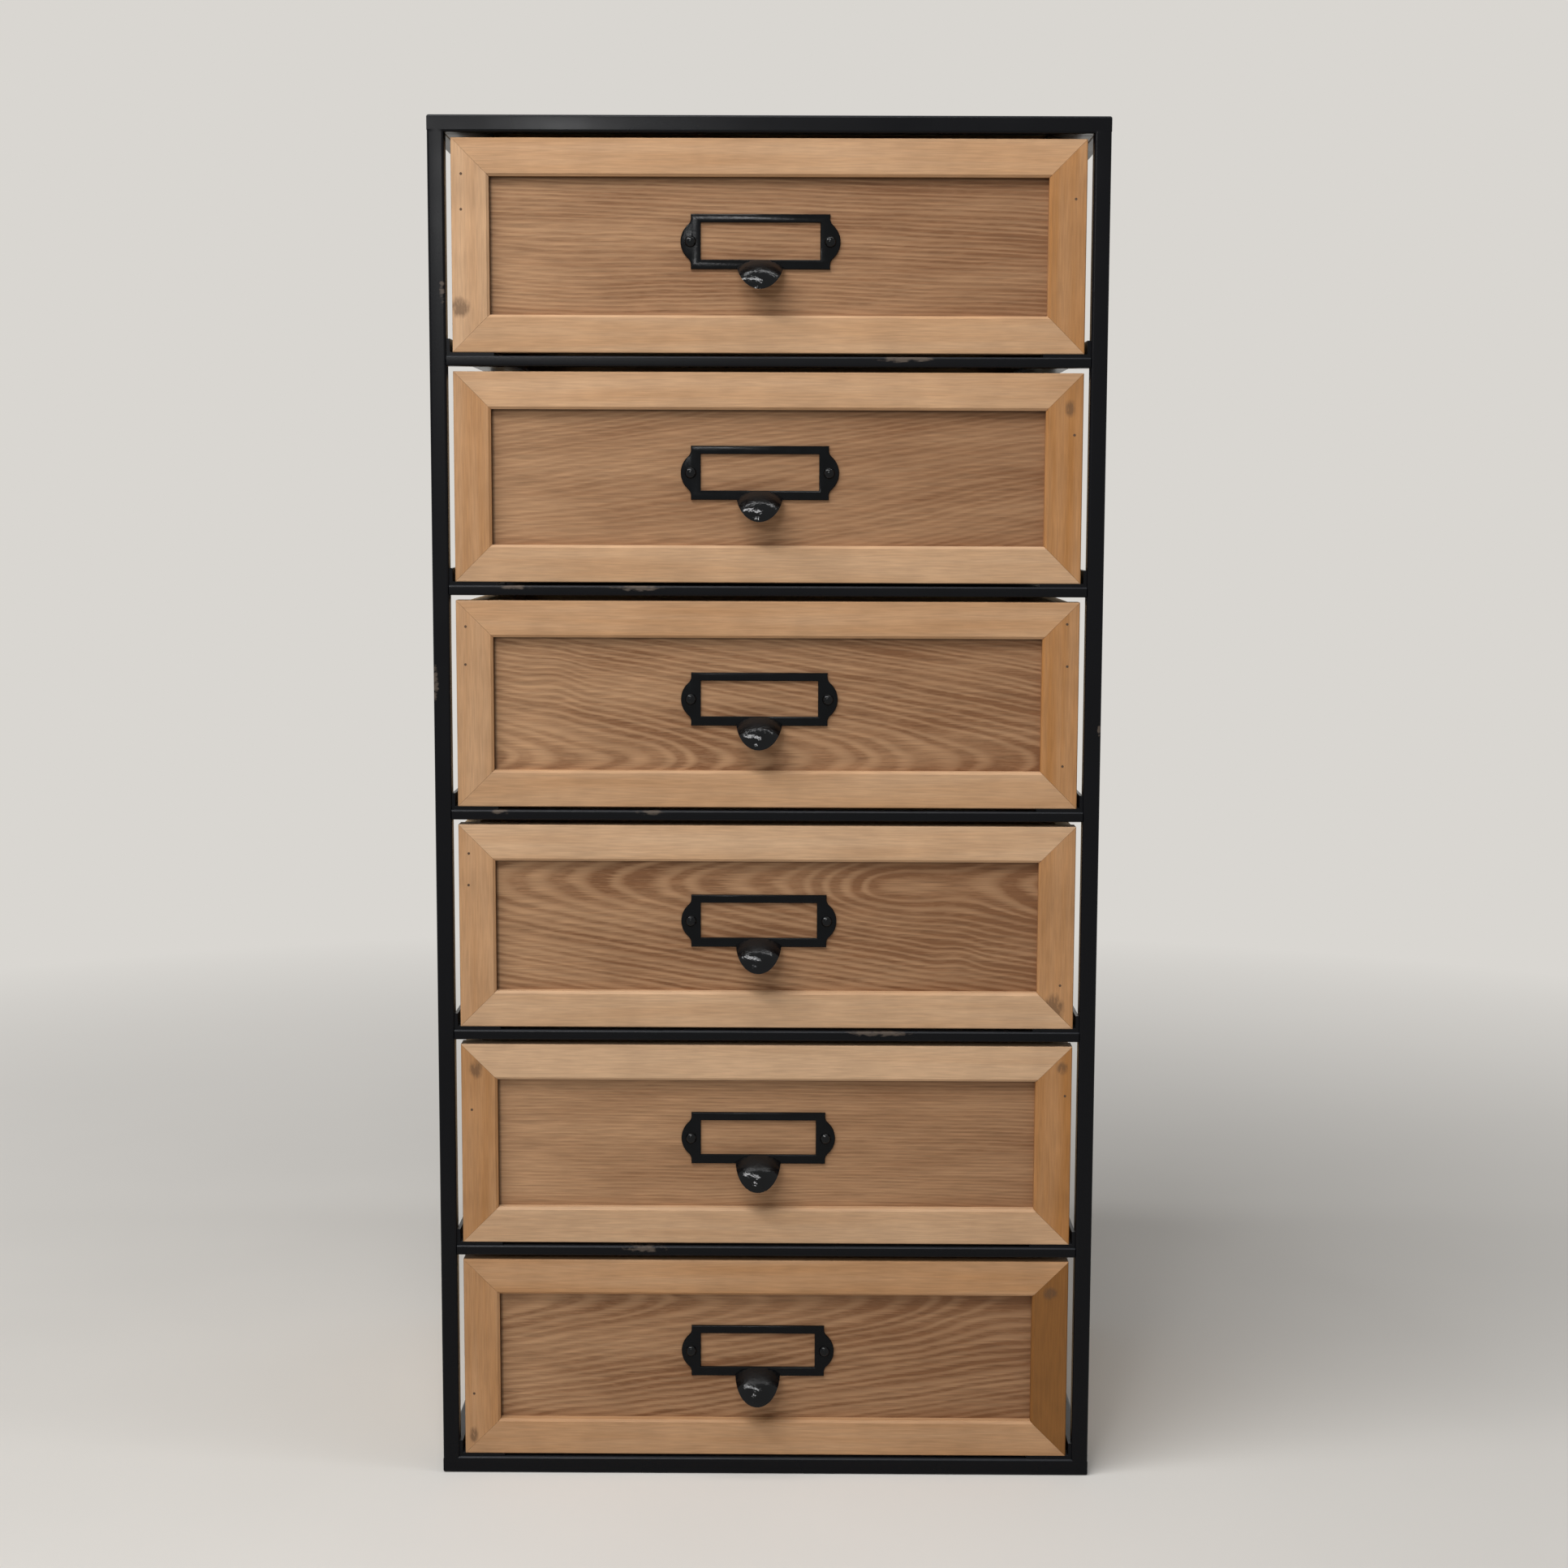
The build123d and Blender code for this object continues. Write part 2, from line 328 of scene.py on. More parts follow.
class CabinetColours(bpy.types.PropertyGroup):
    """Colours of the materials."""

    paint: colour("Paint", "Black paint of the frame", "#06070B")
    # Grey of the frame's upper faces: partly rubbed paint, partly a painted highlight
    rubbed_and_highlight: colour("Rubbed paint", "Paint rubbed grey on the upper edges", "#2A2C30")
    primer: colour("Primer", "Brown-grey ground where the paint is chipped", "#5A5048")
    pine_pale: colour("Pale pine", "Palest tone of the mouldings", "#C5A280")
    pine_amber: colour("Amber pine", "Deepest tone of the mouldings", "#A06B34")
    knot: colour("Knot", "Knots and filled nail holes", "#57402E")
    ash_pale: colour("Pale ash", "Panel between the ring lines", "#B38C68")
    ash_dark: colour("Dark ash", "Ring lines of the panel", "#7D5638")
    box_pale: colour("Box wood", "Pale tone of the drawer boxes", "#DAB88C")
    box_dark: colour("Box grain", "Grain of the drawer boxes", "#B3875A")
    enamel: colour("Enamel", "Black enamel of the pulls", "#040609")
    dust: colour("Dust", "Dust on the upper faces of the pulls", "#0A0909")
    floor: colour("Floor", "Pale floor", "#DCD9D4")
    backdrop: colour("Backdrop", "Pale backdrop", "#D9D6D1")


def connect(tree, node, inputs):
    """Link a node's inputs to sockets, or set them to constants."""
    for socket, value in inputs.items():
        if isinstance(value, bpy.types.NodeSocket):
            tree.links.new(value, node.inputs[socket])
        else:
            node.inputs[socket].default_value = value


def add_node(tree, kind, inputs=None, **settings):
    """Add a shader node with its settings and its linked or constant inputs."""
    node = tree.nodes.new("ShaderNode" + kind)
    for name, value in settings.items():
        setattr(node, name, value)
    connect(tree, node, inputs or {})
    return node


def new_material(name):
    """Empty material, its node tree, its shader and its place in millimetres."""
    material = bpy.data.materials.new(name)
    material.use_nodes = True
    tree = material.node_tree
    place = add_node(tree, "TexCoord").outputs["Object"]
    return material, tree, tree.nodes["Principled BSDF"], times(tree, place, 1 / MM)


def maths(tree, operation, *values, clamp=False):
    """Result of a sum on up to three numbers."""
    return add_node(
        tree, "Math", dict(enumerate(values)), operation=operation, use_clamp=clamp
    ).outputs[0]


def vectors(tree, operation, *values):
    """Result of a sum on up to three vectors, itself a vector or a number."""
    node = add_node(tree, "VectorMath", dict(enumerate(values)), operation=operation)
    return node.outputs["Value" if operation in NUMBER_RESULTS else "Vector"]


def times(tree, vector, factor):
    """Vector or colour times a number."""
    return add_node(tree, "VectorMath", {0: vector, "Scale": factor}, operation="SCALE").outputs[0]


def mixed(tree, share, first, second):
    """Colour between two, by the share of the second."""
    return add_node(
        tree, "Mix", {MIX_FACTOR: share, MIX_A: first, MIX_B: second}, data_type="RGBA"
    ).outputs[MIX_RESULT]


def scaled(tree, value, low, high, out_low, out_high, interpolation="LINEAR"):
    """Value taken from one range to another and held at its ends."""
    return add_node(
        tree,
        "MapRange",
        {"Value": value, "From Min": low, "From Max": high, "To Min": out_low, "To Max": out_high},
        interpolation_type=interpolation,
    ).outputs[0]


def varied(tree, noise, low, high):
    """Noise spread over a range."""
    return scaled(tree, noise, *NOISE_SPREAD, low, high)


def grain(tree, place, size, detail=3.0):
    """Noise whose features have the given sizes along X, Y and Z, in millimetres."""
    stretched = vectors(tree, "DIVIDE", place, size)
    return add_node(
        tree, "TexNoise", {"Vector": stretched, "Scale": 1.0, "Detail": detail}
    ).outputs["Fac"]


def spot(tree, place, mark):
    """1 in the middle of an oval mark, falling softly to 0 at its rim, at any depth of the front."""
    offset = vectors(tree, "SUBTRACT", place, (mark.x, 0, mark.z))
    share = vectors(tree, "DIVIDE", offset, (mark.half_width, THROUGH, mark.half_height))
    return scaled(tree, vectors(tree, "LENGTH", share), 0.0, 1.0, 1.0, 0.0, "SMOOTHSTEP")


def spots(tree, place, marks):
    """Strongest of several marks."""
    strongest = None
    for mark in marks:
        share = spot(tree, place, mark)
        strongest = share if strongest is None else maths(tree, "MAXIMUM", strongest, share)
    return strongest


def upward(tree, low, high):
    """1 on faces that look up, falling to 0 on upright ones."""
    facing = add_node(tree, "NewGeometry").outputs["Normal"]
    rise = add_node(tree, "SeparateXYZ", {0: facing}).outputs["Z"]
    return scaled(tree, rise, low, high, 0.0, 1.0)


def relief(tree, height, strength, depth=FINE_RELIEF, sunken=False):
    """Normals of a surface raised or sunk by a height."""
    return add_node(
        tree, "Bump", {"Strength": strength, "Distance": depth, "Height": height}, invert=sunken
    ).outputs[0]


def dress(tree, shader, tint, roughness, shine, normal):
    """Give a shader its colour, its roughness, its shine and its relief."""
    connect(
        tree,
        shader,
        {"Base Color": tint, "Roughness": roughness, "Specular IOR Level": shine, "Normal": normal},
    )


def black_paint(colours):
    """Satin black paint on steel: cool near-black, brown-grey where chipped, grey on top as rubbed paint
    and painted highlight.
    """
    material, tree, shader, place = new_material("satin_black_paint")
    worn = spots(tree, place, WORN_SPOTS)
    flakes = grain(tree, place, (5, 5, 1.8), detail=4.0)
    chips = scaled(tree, maths(tree, "MULTIPLY", worn, flakes), 0.3, 0.44, 0.0, 0.8)
    # Upper faces lighter: partly rubbed paint, partly a painted highlight along the top edges
    tint = mixed(tree, upward(tree, 0.25, 0.9), (*colours.paint, 1), (*colours.rubbed_and_highlight, 1))
    tint = mixed(tree, chips, tint, (*colours.primer, 1))
    roughness = varied(tree, grain(tree, place, (60, 60, 60)), 0.22, 0.32)
    peel = grain(tree, place, (1.4, 1.4, 1.4), detail=2.0)
    dress(tree, shader, tint, roughness, shine=0.13, normal=relief(tree, peel, strength=0.12))
    return material


def pine(name, pale, amber, knot, size, knots=()):
    """Oiled pine: honey-tan with soft streaks along the grain, a tone for each length and dark knots."""
    material, tree, shader, place = new_material(name)
    tone = add_node(tree, "Attribute", attribute_name="tone").outputs["Fac"]
    bands = varied(tree, grain(tree, place, size), -0.12, 0.16)
    depth = maths(tree, "ADD", tone, bands, clamp=True)
    tint = mixed(tree, depth, (*pale, 1), (*amber, 1))
    fibres = grain(tree, place, [extent / FIBRES for extent in size], detail=5.0)
    # Tones above 1 are darkened: on the moulding's inner faces at the top and left this is painted shade
    deep_tone_and_painted_shade = scaled(tree, tone, 1.0, SHADED_INNER_TONE, 1.0, 0.4)
    streaks = varied(tree, fibres, 0.87, 1.09)
    clouds = varied(tree, grain(tree, place, (26, 26, 26)), 0.92, 1.06)
    for shade in (deep_tone_and_painted_shade, streaks, clouds):
        tint = times(tree, tint, shade)
    if knots:
        mottle = varied(tree, grain(tree, place, (1.5, 1.5, 4)), 0.5, 1.5)
        marked = maths(tree, "MULTIPLY", spots(tree, place, knots), mottle)
        tint = mixed(tree, scaled(tree, marked, 0.12, 0.7, 0.0, 0.68), tint, (*knot, 1))
    normal = relief(tree, fibres, strength=0.2)
    dress(tree, shader, tint, roughness=0.55, shine=0.25, normal=normal)
    return material


def ring_number(tree, place, figure):
    """Ring number over a panel: a slope, a fold and local swells, swayed a little by noise."""
    slope = vectors(tree, "DOT_PRODUCT", place, (figure.along, 0, figure.across))
    upright = (0, figure.fold_softness, -figure.fold_height)
    flat = vectors(tree, "MULTIPLY_ADD", place, (0, 0, 1), upright)
    fold = vectors(tree, "LENGTH", flat)
    rings = maths(tree, "MULTIPLY_ADD", fold, figure.fold, slope)
    sway = grain(tree, place, (110, 110, 30), detail=2.0)
    rings = maths(tree, "MULTIPLY_ADD", sway, SWAY_RINGS * figure.sway, rings)
    for swell in figure.swells:
        rings = maths(tree, "MULTIPLY_ADD", spot(tree, place, swell), swell.rings, rings)
    uneven = add_node(
        tree, "TexNoise", {"W": rings, "Scale": 0.6, "Detail": 1.0}, noise_dimensions="1D"
    ).outputs["Fac"]
    return maths(tree, "ADD", uneven, rings)


def stained_ash(number, colours):
    """Brown-stained ash: warm brown between darker ring lines, with painted shade along its upper and
    left edge and towards its right.
    """
    figure = FIGURES[number]
    material, tree, shader, place = new_material(f"stained_ash_{number}")
    low, high = [Vector(corner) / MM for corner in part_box(f"drawer_{number}_front_panel")]
    edge = (high - low) / 2 - Vector((PANEL_LAP, 0, PANEL_LAP))
    place = vectors(tree, "SUBTRACT", place, (low + high) / 2)
    fibres = grain(tree, place, (22, 22, 1.0))
    ragged = maths(tree, "MULTIPLY_ADD", fibres, 0.35, ring_number(tree, place, figure))
    wave = maths(tree, "COSINE", maths(tree, "MULTIPLY", ragged, 2 * math.pi))
    nearest = maths(tree, "ROUND", ragged)
    year = add_node(tree, "TexWhiteNoise", {"W": nearest}, noise_dimensions="1D").outputs["Value"]
    strength = scaled(tree, year, 0.0, 1.0, 0.45 * figure.contrast, 0.8 * figure.contrast)
    patches = varied(tree, grain(tree, place, (90, 90, 24)), 0.5, 1.2)
    pores = grain(tree, place, (7, 7, 0.7), detail=2.0)
    dashes = scaled(tree, pores, 0.35, 0.65, 0.65, 1.15)
    lines = scaled(tree, wave, -1.0, 0.5, 0.0, 1.0)
    for share in (strength, patches, dashes):
        lines = maths(tree, "MULTIPLY", lines, share)
    axes = add_node(tree, "SeparateXYZ", {0: place}).outputs
    bands = varied(tree, grain(tree, place, (120, 120, 14)), -0.1, 0.35)
    # The panel's own shade, plus painted shade that deepens towards its right
    left_depth, right_depth = [figure.shade + end for end in PAINTED_FALLOFF]
    shade_with_painted_falloff = scaled(tree, axes["X"], -PAINTED_FALLOFF_REACH, PAINTED_FALLOFF_REACH, left_depth, right_depth)
    depth = lines
    for share in (bands, shade_with_painted_falloff):
        depth = maths(tree, "ADD", depth, share, clamp=True)
    tint = mixed(tree, depth, (*colours.ash_pale, 1), (*colours.ash_dark, 1))
    streaks = varied(tree, fibres, 0.8, 1.12)
    # Painted shade along the panel's upper and left edge, where the moulding shades it
    left_painted_shade = scaled(tree, axes["X"], -edge.x, PAINTED_SHADE_WIDTH - edge.x, PAINTED_SHADE_LEVEL, 1.0)
    top_painted_shade = scaled(tree, axes["Z"], edge.z - PAINTED_SHADE_WIDTH, edge.z, 1.0, PAINTED_SHADE_LEVEL)
    for shade in (streaks, left_painted_shade, top_painted_shade):
        tint = times(tree, tint, shade)
    normal = relief(tree, lines, strength=0.3, sunken=True)
    dress(tree, shader, tint, roughness=0.6, shine=0.25, normal=normal)
    return material


def black_enamel(name, colours, roughness, shine, unevenness):
    """Black enamel on cast metal: deep black, its gloss broken by ripples and dulled by dust on top."""
    material, tree, shader, place = new_material(name)
    clouds = grain(tree, place, (9, 9, 9))
    dust = upward(tree, 0.65, 0.95)
    tint = times(tree, tuple(colours.enamel), varied(tree, clouds, 0.75, 1.25))
    tint = mixed(tree, dust, tint, (*colours.dust, 1))
    gloss = varied(tree, clouds, 0.8 * roughness, 1.2 * roughness)
    dulled = maths(tree, "MULTIPLY_ADD", dust, 0.5, gloss)
    ripples = grain(tree, place, (2.2, 2.2, 2.2), detail=2.0)
    dress(tree, shader, tint, dulled, shine, relief(tree, ripples, unevenness, RIPPLE_RELIEF))
    return material


def filler(colours):
    """Wood filler in nail holes: dull dark brown, a little mottled."""
    material, tree, shader, place = new_material("wood_filler")
    shade = varied(tree, grain(tree, place, (0.8, 0.8, 0.8)), 0.7, 1.1)
    connect(tree, shader, {"Base Color": times(tree, tuple(colours.knot), shade), "Roughness": 0.8})
    return material


def floor_paint(colours):
    """Pale painted floor: matt and faintly clouded, glowing like the backdrop further out."""
    material, tree, shader, place = new_material("pale_floor")
    shade = varied(tree, grain(tree, place, (400, 400, 400)), 0.97, 1.03)
    connect(tree, shader, {"Base Color": times(tree, tuple(colours.floor), shade), "Roughness": 0.9})
    far = scaled(tree, vectors(tree, "LENGTH", place), *FLOOR_FADE, 0.0, 1.0)
    glow = add_node(tree, "Emission", {"Color": (*colours.backdrop, 1)}).outputs[0]
    blend = add_node(tree, "MixShader", {0: far, 1: shader.outputs[0], 2: glow}).outputs[0]
    connect(tree, tree.nodes["Material Output"], {"Surface": blend})
    return material


def merged(node):
    """Copy of a frame node's mesh with its triangles joined up again into whole faces."""
    form = bmesh.new()
    form.from_mesh(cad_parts[node].data)
    bmesh.ops.remove_doubles(form, verts=form.verts, dist=MERGE)
    bmesh.ops.dissolve_limit(form, angle_limit=FLAT, verts=form.verts, edges=form.edges)
    return form


def add_piece(form, name, materials, body, nodes=()):
    """Make a form a smoothly shaded piece that rides on a body and stands for the given nodes."""
    bmesh.ops.recalc_face_normals(form, faces=form.faces)
    mesh = bpy.data.meshes.new(name)
    form.to_mesh(mesh)
    form.free()
    if "custom_normal" in mesh.attributes:
        mesh.attributes.remove(mesh.attributes["custom_normal"])
    for material in materials:
        mesh.materials.append(material)
    mesh.shade_smooth()
    mesh.set_sharp_from_angle(angle=SHARP)
    piece = bpy.data.objects.new(name, mesh)
    bpy.context.scene.collection.objects.link(piece)
    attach(piece, body)
    if nodes:
        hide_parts(*nodes)
    return piece


def round_edges(piece, width):
    """Round the sharp edges of a piece."""
    bevel = piece.modifiers.new("Bevel", "BEVEL")
    bevel.width = width
    bevel.segments = BOARD_BEVEL_STEPS
    bevel.limit_method = "ANGLE"


def plate_form(sizes):
    """Label holder about its middle on the panel: an outline with ears, filled round its window."""
    half_width = sizes.window_width / 2 + sizes.side_bar
    half_height = (sizes.window_height + sizes.top_bar + sizes.bottom_bar) / 2
    ear_x = half_width + sizes.ear_reach - sizes.ear_radius
    blend_x = half_width + sizes.ear_blend
    blend_z = math.sqrt((sizes.ear_radius + sizes.ear_blend) ** 2 - (blend_x - ear_x) ** 2)
    blend_angle = math.atan2(blend_z, blend_x - ear_x)
    form = bmesh.new()

    def loop(*corners):
        """Edges through some corners, in order."""
        for start, end in zip(corners, corners[1:]):
            form.edges.new((start, end))

    def corner(x, z):
        """Corner on the panel."""
        return form.verts.new((x, 0, z))

    upper, lower = [corner(half_width, end * half_height) for end in (1, -1)]
    first = last = corner(half_width, blend_z)
    for centre, turn, steps in (
        ((blend_x, 0, blend_z), -blend_angle, BLEND_STEPS),
        ((ear_x, 0, 0), 2 * blend_angle, EAR_STEPS),
        ((blend_x, 0, -blend_z), -blend_angle, BLEND_STEPS),
    ):
        spun = bmesh.ops.spin(form, geom=[last], cent=centre, axis=(0, 1, 0), angle=turn, steps=steps)
        last = next(item for item in spun["geom_last"] if isinstance(item, bmesh.types.BMVert))
    loop(upper, first)
    loop(last, lower)
    copied = bmesh.ops.mirror(form, geom=form.verts[:] + form.edges[:], axis="X", merge_dist=0)["geom"]
    left = [item for item in copied if isinstance(item, bmesh.types.BMVert)]
    loop(upper, max(left, key=lambda vert: vert.co.z))
    loop(lower, min(left, key=lambda vert: vert.co.z))
    rise = (sizes.bottom_bar - sizes.top_bar) / 2
    half_window = sizes.window_width / 2
    low, high = [rise + end * sizes.window_height / 2 for end in (-1, 1)]
    window = [
        corner(side * half_window, z) for side, z in ((1, low), (1, high), (-1, high), (-1, low))
    ]
    loop(*window, window[0])
    bmesh.ops.triangle_fill(form, use_beauty=True, use_dissolve=True, edges=form.edges[:])
    grown = bmesh.ops.extrude_face_region(form, geom=form.faces[:])["geom"]
    front = [item for item in grown if isinstance(item, bmesh.types.BMVert)]
    bmesh.ops.translate(form, verts=front, vec=(0, -sizes.plate_thickness, 0))
    bmesh.ops.recalc_face_normals(form, faces=form.faces)
    rim = [
        edge
        for edge in form.edges
        if all(vert.co.y < -sizes.plate_thickness / 2 for vert in edge.verts)
        and edge.calc_face_angle(0) > FLAT
    ]
    bmesh.ops.bevel(
        form,
        geom=rim,
        offset=sizes.plate_bevel,
        segments=PLATE_BEVEL_STEPS,
        profile=0.5,
        affect="EDGES",
        material=-1,
    )
    return form


def lip_form(sizes):
    """Finger lip under the window: a grid bent into a domed tongue and thickened inwards."""
    rise = (sizes.bottom_bar - sizes.top_bar) / 2
    lip_top = rise - sizes.window_height / 2
    form = bmesh.new()
    bmesh.ops.create_grid(form, x_segments=LIP_STEPS, y_segments=LIP_STEPS, size=1)
    for vert in form.verts:
        angle = math.radians(90) * (1 - vert.co.y) / 2
        drop_share = math.sin(angle)
        x = vert.co.x * sizes.lip_width / 2 * math.cos(angle)
        reach = sizes.lip_reach * math.sqrt(1 - (1 - drop_share) ** 2)
        depth = math.sqrt(max(reach ** 2 - x ** 2, 0))
        vert.co = (x, -depth, lip_top - sizes.lip_drop * drop_share)
    bmesh.ops.remove_doubles(form, verts=form.verts, dist=LIP_MERGE)
    bmesh.ops.recalc_face_normals(form, faces=form.faces)
    foremost = min(form.faces, key=lambda face: face.calc_center_median().y)
    if foremost.normal.y > 0:
        bmesh.ops.reverse_faces(form, faces=form.faces)
    bmesh.ops.solidify(form, geom=form.faces[:], thickness=sizes.lip_thickness)
    return form


def screw_form(sizes):
    """Two domed screw heads on the ears."""
    form = bmesh.new()
    size = Matrix.Diagonal((sizes.head_radius, sizes.head_height, sizes.head_radius, 1))
    for end in (-1, 1):
        seat = Matrix.Translation((end * sizes.screw_spacing / 2, -sizes.plate_thickness, 0))
        bmesh.ops.create_uvsphere(
            form, u_segments=HEAD_SEGMENTS, v_segments=HEAD_RINGS, radius=1, matrix=seat @ size
        )
    cut = bmesh.ops.bisect_plane(
        form,
        geom=form.verts[:] + form.edges[:] + form.faces[:],
        plane_co=(0, -sizes.plate_thickness, 0),
        plane_no=(0, 1, 0),
        clear_outer=True,
    )
    rim = [item for item in cut["geom_cut"] if isinstance(item, bmesh.types.BMEdge)]
    bmesh.ops.holes_fill(form, edges=rim)
    return form


def pull_middle(number, sizes):
    """Middle of a drawer's label holder on its panel, read from the frame."""
    low, high = [Vector(corner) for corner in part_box(f"drawer_{number}_pull")]
    half_height = (sizes.window_height + sizes.top_bar + sizes.bottom_bar) / 2
    return Vector(((low.x + high.x) / 2, high.y, high.z - half_height))


class CABINET_OT_steel_frame(bpy.types.Operator):
    """Give the welded steel frame smooth corners and black paint"""

    bl_idname = "cabinet.steel_frame"
    bl_label = "Steel frame"

    def execute(self, context):
        sizes = context.scene.cabinet_sizes
        paint = black_paint(context.scene.cabinet_colours)
        for node in STEEL_NODES:
            add_piece(merged(node), f"{node}_form", [paint], "frame", [node])
        self.welds(paint, sizes.tube_corner)
        return {"FINISHED"}

    def welds(self, paint, rise):
        """Welds ground flush, which carry the posts on over the rounded edges of the two rings."""
        form = bmesh.new()
        for post in (name for name in STEEL_NODES if "_post_" in name):
            low, high = [Vector(corner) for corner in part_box(post)]
            size = Matrix.Diagonal((high.x - low.x, high.y - low.y, rise, 1))
            for z in (low.z - rise / 2, high.z + rise / 2):
                place = Matrix.Translation(((low.x + high.x) / 2, (low.y + high.y) / 2, z))
                bmesh.ops.create_cube(form, size=1, matrix=place @ size)
        uprights = [
            edge for edge in form.edges if abs(edge.verts[0].co.z - edge.verts[1].co.z) > rise / 2
        ]
        bmesh.ops.bevel(
            form,
            geom=uprights,
            offset=rise,
            segments=WELD_STEPS,
            profile=0.5,
            affect="EDGES",
            material=-1,
        )
        add_piece(form, "post_welds", [paint], "frame")


class CABINET_OT_drawer_fronts(bpy.types.Operator):
    """Give each drawer front its mitred pine moulding, its ash panel and its nail holes"""

    bl_idname = "cabinet.drawer_fronts"
    bl_label = "Drawer fronts"

    def execute(self, context):
        sizes = context.scene.cabinet_sizes
        colours = context.scene.cabinet_colours
        tints = (colours.pine_pale, colours.pine_amber, colours.knot)
        rails = pine("oiled_pine_rails", *tints, (150, 8, 8))
        stiles = pine("oiled_pine_stiles", *tints, (8, 8, 150), KNOTS)
        nail_filler = filler(colours)
        for number in DRAWERS:
            self.moulding(number, [rails, stiles])
            self.nails(number, nail_filler, sizes)
            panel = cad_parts[f"drawer_{number}_front_panel"]
            panel.data.materials.clear()
            panel.data.materials.append(stained_ash(number, colours))
        return {"FINISHED"}

    def moulding(self, number, materials):
        """Moulding whose four lengths have grain along them and a tone each."""
        node = f"drawer_{number}_front_frame"
        low, high = [Vector(corner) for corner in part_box(node)]
        form = merged(node)
        tone = form.faces.layers.float.new("tone")
        top, right, bottom, left = TONES[number]
        for face in form.faces:
            middle = face.calc_center_median()
            side_gap = min(middle.x - low.x, high.x - middle.x)
            end_gap = min(middle.z - low.z, high.z - middle.z)
            on_stile = side_gap < end_gap
            on_left = middle.x < 0
            on_top = middle.z > (low.z + high.z) / 2
            face.material_index = int(on_stile)
            # Inner faces of the left stile and of the top rail get a tone that paints shade on them
            if on_stile:
                painted_shade_face = on_left and face.normal.x > UPRIGHT
                plain = left if on_left else right
            else:
                painted_shade_face = on_top and face.normal.z < -UPRIGHT
                plain = top if on_top else bottom
            face[tone] = SHADED_INNER_TONE if painted_shade_face else plain
        add_piece(form, f"{node}_form", materials, f"drawer_{number}", [node])

    def nails(self, number, material, sizes):
        """Filled nail holes, a hair proud of the stiles."""
        low, high = [Vector(corner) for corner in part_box(f"drawer_{number}_front_frame")]
        form = bmesh.new()
        for x, z in NAILS[number]:
            place = Matrix.Translation((x * MM, low.y, (low.z + high.z) / 2 + z * MM))
            bmesh.ops.create_cone(
                form,
                cap_ends=True,
                segments=NAIL_SEGMENTS,
                radius1=sizes.nail_radius,
                radius2=sizes.nail_radius,
                depth=NAIL_DEPTH,
                matrix=place @ Matrix.Rotation(math.radians(90), 4, "X"),
            )
        add_piece(form, f"drawer_{number}_nails", [material], f"drawer_{number}")


class CABINET_OT_pulls(bpy.types.Operator):
    """Give each drawer its label holder with a hooded finger lip and two screws"""

    bl_idname = "cabinet.pulls"
    bl_label = "Pulls"

    def execute(self, context):
        sizes = context.scene.cabinet_sizes
        colours = context.scene.cabinet_colours
        satin = black_enamel(
            "satin_black_enamel", colours, roughness=0.18, shine=0.13, unevenness=0.1
        )
        gloss = black_enamel(
            "glossy_black_enamel", colours, roughness=0.08, shine=0.22, unevenness=0.5
        )
        for number in DRAWERS:
            node = f"drawer_{number}_pull"
            middle = pull_middle(number, sizes)
            for name, shape, material, nodes in (
                (f"{node}_plate", plate_form, satin, [node]),
                (f"{node}_lip", lip_form, gloss, []),
                (f"{node}_screw_heads", screw_form, gloss, [f"{node}_screws"]),
            ):
                form = shape(sizes)
                bmesh.ops.translate(form, verts=form.verts, vec=middle)
                add_piece(form, name, [material], f"drawer_{number}", nodes)
        return {"FINISHED"}


class CABINET_OT_drawer_boxes(bpy.types.Operator):
    """Give the drawer boxes and the top board eased edges and pale wood"""

    bl_idname = "cabinet.drawer_boxes"
    bl_label = "Drawer boxes and top board"

    def execute(self, context):
        sizes = context.scene.cabinet_sizes
        colours = context.scene.cabinet_colours
        tints = (colours.box_pale, colours.box_dark, colours.knot)
        lengthways = pine("planed_pine_lengthways", *tints, (9, 160, 9))
        crossways = pine("planed_pine_crossways", *tints, (160, 9, 9))
        ply = pine("birch_plywood", *tints, (120, 14, 5))
        boards = [("top_board", "frame", "top_wood", crossways)]
        for number in DRAWERS:
            body = f"drawer_{number}"
            boards.append((f"{body}_sides", body, "box_wood", lengthways))
            boards.append((f"{body}_back", body, "box_wood", crossways))
            boards.append((f"{body}_bottom", body, "box_ply", ply))
        for node, body, slot, material in boards:
            piece = add_piece(merged(node), f"{node}_form", [material], body, [node])
            round_edges(piece, sizes.board_bevel)
        return {"FINISHED"}


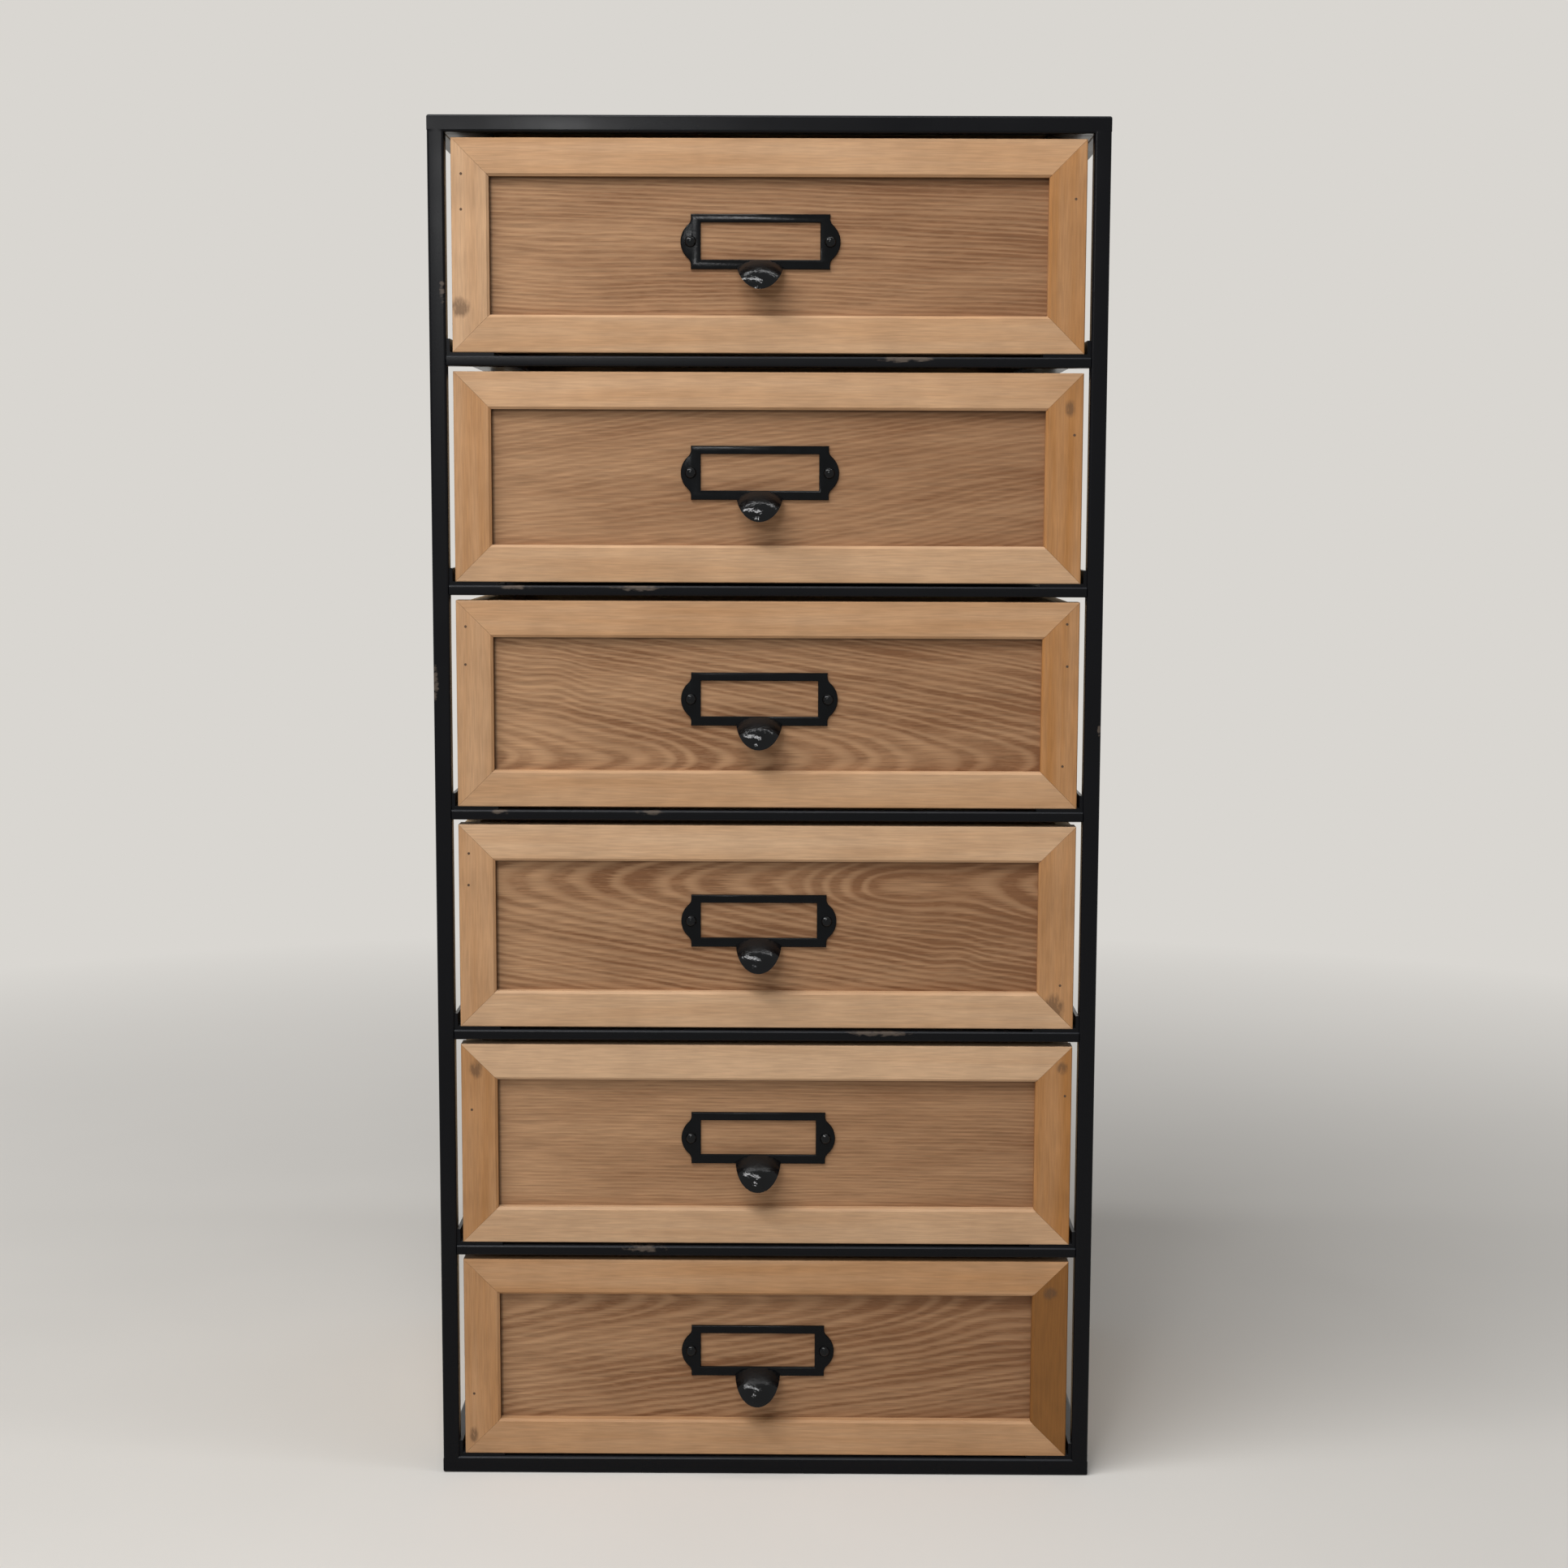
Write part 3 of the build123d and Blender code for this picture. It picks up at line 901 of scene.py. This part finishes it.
class CABINET_OT_stage(bpy.types.Operator):
    """Set up the pale floor and backdrop, the soft lights and the camera"""

    bl_idname = "cabinet.stage"
    bl_label = "Stage"

    def execute(self, context):
        colours = context.scene.cabinet_colours
        self.floor(context, colours)
        self.backdrop(context, colours)
        for lamp in LAMPS:
            self.light(context, lamp)
        self.camera(context)
        context.scene.view_settings.view_transform = "Standard"
        return {"FINISHED"}

    def floor(self, context, colours):
        """Pale floor that takes the shadow round the cabinet and fades into the backdrop further out."""
        form = bmesh.new()
        bmesh.ops.create_circle(form, cap_ends=True, segments=FLOOR_SEGMENTS, radius=FLOOR_RADIUS)
        mesh = bpy.data.meshes.new("floor")
        form.to_mesh(mesh)
        form.free()
        mesh.materials.append(floor_paint(colours))
        floor = bpy.data.objects.new("floor", mesh)
        floor.location.z = -FLOOR_DROP
        context.scene.collection.objects.link(floor)

    def backdrop(self, context, colours):
        """Pale backdrop for the camera and for reflections, with dimmer light for dull surfaces."""
        world = bpy.data.worlds.new("studio")
        world.use_nodes = True
        tree = world.node_tree
        path = add_node(tree, "LightPath").outputs
        seen = path["Is Camera Ray"]
        for ray in ("Is Glossy Ray", "Is Transmission Ray"):
            seen = maths(tree, "MAXIMUM", seen, path[ray])
        tint = mixed(tree, seen, (*AMBIENT, 1), (*colours.backdrop, 1))
        connect(tree, tree.nodes["Background"], {"Color": tint})
        context.scene.world = world

    def light(self, context, lamp):
        """Soft light aimed at the middle of the front, which the camera doesn't see."""
        area = bpy.data.lights.new(lamp.name, "AREA")
        area.shape = "RECTANGLE"
        area.size, area.size_y = lamp.size
        area.energy = lamp.power
        holder = bpy.data.objects.new(lamp.name, area)
        holder.location = lamp.place
        holder.visible_camera = False
        aim = LAMP_AIM - holder.location
        holder.rotation_euler = aim.to_track_quat("-Z", "Y").to_euler()
        context.scene.collection.objects.link(holder)

    def camera(self, context):
        """Camera at the photograph's place and turn."""
        forward = Vector(
            (
                math.sin(CAMERA_YAW) * math.cos(CAMERA_PITCH),
                math.cos(CAMERA_YAW) * math.cos(CAMERA_PITCH),
                -math.sin(CAMERA_PITCH),
            )
        )
        level = forward.cross((0, 0, 1)).normalized()
        upright = level.cross(forward)
        right = level * math.cos(CAMERA_ROLL) + upright * math.sin(CAMERA_ROLL)
        up = upright * math.cos(CAMERA_ROLL) - level * math.sin(CAMERA_ROLL)
        lens = bpy.data.cameras.new("camera")
        lens.sensor_width = SENSOR
        lens.lens = SENSOR * PHOTO_FOCAL / PHOTO_SIDE
        holder = bpy.data.objects.new("camera", lens)
        turn = Matrix((right, up, -forward)).transposed().to_4x4()
        holder.matrix_world = Matrix.Translation(CAMERA_PLACE) @ turn
        context.scene.collection.objects.link(holder)
        context.scene.camera = holder


STEPS = (
    CABINET_OT_steel_frame,
    CABINET_OT_drawer_fronts,
    CABINET_OT_pulls,
    CABINET_OT_drawer_boxes,
    CABINET_OT_stage,
)


class CABINET_PT_panel(bpy.types.Panel):
    """Sidebar panel with the sizes, the colours and a button for each step"""

    bl_idname = "CABINET_PT_panel"
    bl_label = "Drawer cabinet"
    bl_space_type = "VIEW_3D"
    bl_region_type = "UI"
    bl_category = "Cabinet"

    def draw(self, context):
        for group in (context.scene.cabinet_sizes, context.scene.cabinet_colours):
            column = self.layout.column()
            for name in group.__annotations__:
                column.prop(group, name)
        for step in STEPS:
            self.layout.operator(step.bl_idname)


CLASSES = (CabinetSizes, CabinetColours, *STEPS, CABINET_PT_panel)


def register():
    """Add the classes and give the scene its sizes and colours."""
    for cls in CLASSES:
        bpy.utils.register_class(cls)
    bpy.types.Scene.cabinet_sizes = PointerProperty(type=CabinetSizes)
    bpy.types.Scene.cabinet_colours = PointerProperty(type=CabinetColours)


def unregister():
    """Take away what register adds."""
    del bpy.types.Scene.cabinet_colours
    del bpy.types.Scene.cabinet_sizes
    for cls in reversed(CLASSES):
        bpy.utils.unregister_class(cls)


def main():
    """Finish the cabinet step by step."""
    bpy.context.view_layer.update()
    register()
    bpy.ops.cabinet.steel_frame()
    bpy.ops.cabinet.drawer_fronts()
    bpy.ops.cabinet.pulls()
    bpy.ops.cabinet.drawer_boxes()
    bpy.ops.cabinet.stage()


if __name__ == "__main__":
    main()
